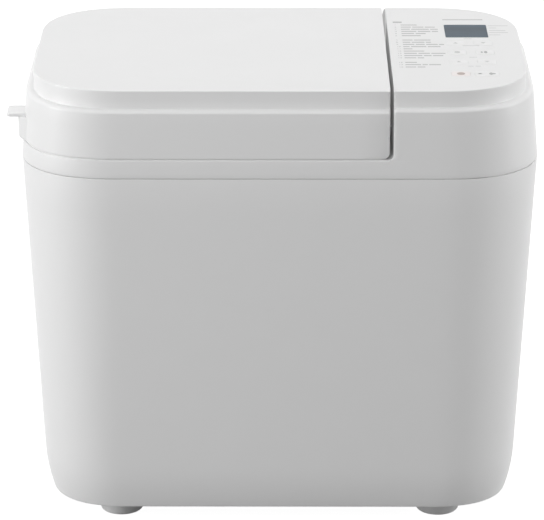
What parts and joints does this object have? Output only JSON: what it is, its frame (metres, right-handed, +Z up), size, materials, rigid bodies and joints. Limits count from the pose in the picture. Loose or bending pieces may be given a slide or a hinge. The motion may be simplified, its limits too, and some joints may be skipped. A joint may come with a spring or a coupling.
{
  "type": "bread machine",
  "caption": "Domestic bread machine: tapered casing on feet, lid hinged at one side, fixed control panel with display and keys, oven with lift-out pan and belt-driven kneading blade.",
  "frame": {"origin": "on the floor under the middle of the outline's width and depth, the lid's finger tab included", "axes": "+X to the right as the user faces the machine, +Y to the back, +Z up"},
  "size_m": [0.408, 0.249, 0.3594],
  "materials": {
    "white_plastic": "satin white",
    "pale_plastic": "satin, slightly lighter",
    "key_plastic": "satin",
    "start_plastic": "satin, faintly pink",
    "dark_plastic": "matt, dark",
    "foot_rubber": "matt, light grey",
    "seal_rubber": "matt, grey silicone",
    "belt_rubber": "matt, black",
    "zinc_steel": "zinc plated",
    "oven_steel": "aluminised",
    "heater_steel": "dull, oxidised",
    "frame_steel": "black, satin",
    "cover_aluminium": "brushed",
    "cast_aluminium": "cast, satin",
    "non_stick": "non-stick coating",
    "bearing_brass": "sintered",
    "core_steel": "laminated",
    "copper_wire": "enamelled copper",
    "board_green": "solder mask",
    "relay_blue": "moulded",
    "capacitor_case": "moulded",
    "lcd_glass": "glass cell",
    "lcd_clear": "hard coated"
  },
  "bodies": {
    "machine": {"body_shell": "white_plastic", "upper_housing": "white_plastic", "base_plate": "dark_plastic", "rubber_feet": "foot_rubber", "case_screws": "zinc_steel", "cord_inlet": "dark_plastic", "hinge_pins": "zinc_steel", "hinge_brackets": "zinc_steel", "oven_chamber": "oven_steel", "heating_element": "heater_steel", "heater_clips": "zinc_steel", "temperature_sensor": "zinc_steel", "heat_shield": "oven_steel", "pan_seat": "cast_aluminium", "drive_frame": "frame_steel", "bearing_housing": "cast_aluminium", "shaft_bearings": "bearing_brass", "drive_belt": "belt_rubber", "motor_core": "core_steel", "motor_coils": "copper_wire", "motor_end_caps": "cast_aluminium", "motor_spacers": "zinc_steel", "motor_bolts": "zinc_steel", "power_board": "board_green", "transformer": "dark_plastic", "relays": "relay_blue", "run_capacitor": "capacitor_case", "capacitor_clamp": "zinc_steel", "control_board": "board_green", "key_switches": "dark_plastic", "buzzer": "dark_plastic", "lcd_module": "lcd_glass", "lcd_window": "lcd_clear"},
    "lid": {"lid_shell": "white_plastic", "lid_inner_cover": "cover_aluminium", "lid_seal": "seal_rubber", "steam_duct": "pale_plastic", "lid_screws": "zinc_steel", "hinge_arms": "zinc_steel"},
    "drive": {"drive_shaft": "zinc_steel", "drive_coupling": "cast_aluminium", "drive_pulley": "dark_plastic"},
    "rotor": {"motor_rotor": "core_steel", "motor_pulley": "zinc_steel"},
    "pan": {"bread_pan": "non_stick", "pan_bush": "bearing_brass", "handle_rivets": "zinc_steel"},
    "handle": {"pan_handle": "zinc_steel", "handle_grip": "dark_plastic"},
    "paddle": {"pan_shaft": "zinc_steel", "pan_coupling": "cast_aluminium", "kneading_blade": "non_stick"},
    "key_course_up": {"key_course_up": "key_plastic"},
    "key_course_down": {"key_course_down": "key_plastic"},
    "key_size": {"key_size": "key_plastic"},
    "key_crust": {"key_crust": "key_plastic"},
    "key_timer_up": {"key_timer_up": "key_plastic"},
    "key_timer_down": {"key_timer_down": "key_plastic"},
    "key_start": {"key_start": "start_plastic"},
    "key_stop": {"key_stop": "key_plastic"}
  },
  "joints": [
    {"name": "lid_hinge", "type": "hinge", "parent": "machine", "child": "lid", "pos_m": [0.10771, 0, 0.35], "axis": [0, 1, 0], "range_deg": [0, 92]},
    {"name": "motor_spin", "type": "hinge", "parent": "machine", "child": "rotor", "pos_m": [0.12219, 0, 0.05], "axis": [0, 0, 1], "continuous": true},
    {"name": "drive_spin", "type": "hinge", "parent": "machine", "child": "drive", "pos_m": [-0.05315, 0, 0.05], "axis": [0, 0, 1], "continuous": true},
    {"name": "pan_lift", "type": "slide", "parent": "machine", "child": "pan", "axis": [0, 0, 1], "range_m": [0, 0.008]},
    {"name": "handle_swing", "type": "hinge", "parent": "pan", "child": "handle", "pos_m": [-0.05315, 0, 0.227], "axis": [-1, 0, 0], "range_deg": [0, 153]},
    {"name": "paddle_spin", "type": "hinge", "parent": "pan", "child": "paddle", "pos_m": [-0.05315, 0, 0.1], "axis": [0, 0, 1], "continuous": true},
    {"name": "key_course_up_press", "type": "slide", "parent": "machine", "child": "key_course_up", "axis": [0, 0, -1], "range_m": [0, 0.0007], "stiffness_N_per_m": 1500, "springref_m": -0.0003},
    {"name": "key_course_down_press", "type": "slide", "parent": "machine", "child": "key_course_down", "axis": [0, 0, -1], "range_m": [0, 0.0007], "stiffness_N_per_m": 1500, "springref_m": -0.0003},
    {"name": "key_size_press", "type": "slide", "parent": "machine", "child": "key_size", "axis": [0, 0, -1], "range_m": [0, 0.0007], "stiffness_N_per_m": 1500, "springref_m": -0.0003},
    {"name": "key_crust_press", "type": "slide", "parent": "machine", "child": "key_crust", "axis": [0, 0, -1], "range_m": [0, 0.0007], "stiffness_N_per_m": 1500, "springref_m": -0.0003},
    {"name": "key_timer_up_press", "type": "slide", "parent": "machine", "child": "key_timer_up", "axis": [0, 0, -1], "range_m": [0, 0.0007], "stiffness_N_per_m": 1500, "springref_m": -0.0003},
    {"name": "key_timer_down_press", "type": "slide", "parent": "machine", "child": "key_timer_down", "axis": [0, 0, -1], "range_m": [0, 0.0007], "stiffness_N_per_m": 1500, "springref_m": -0.0003},
    {"name": "key_start_press", "type": "slide", "parent": "machine", "child": "key_start", "axis": [0, 0, -1], "range_m": [0, 0.0007], "stiffness_N_per_m": 1500, "springref_m": -0.0003},
    {"name": "key_stop_press", "type": "slide", "parent": "machine", "child": "key_stop", "axis": [0, 0, -1], "range_m": [0, 0.0007], "stiffness_N_per_m": 1500, "springref_m": -0.0003}
  ],
  "couplings": [
    {"joint": "drive_spin", "follows": "motor_spin", "ratio": 0.18771},
    {"joint": "paddle_spin", "follows": "motor_spin", "ratio": 0.18771}
  ]
}
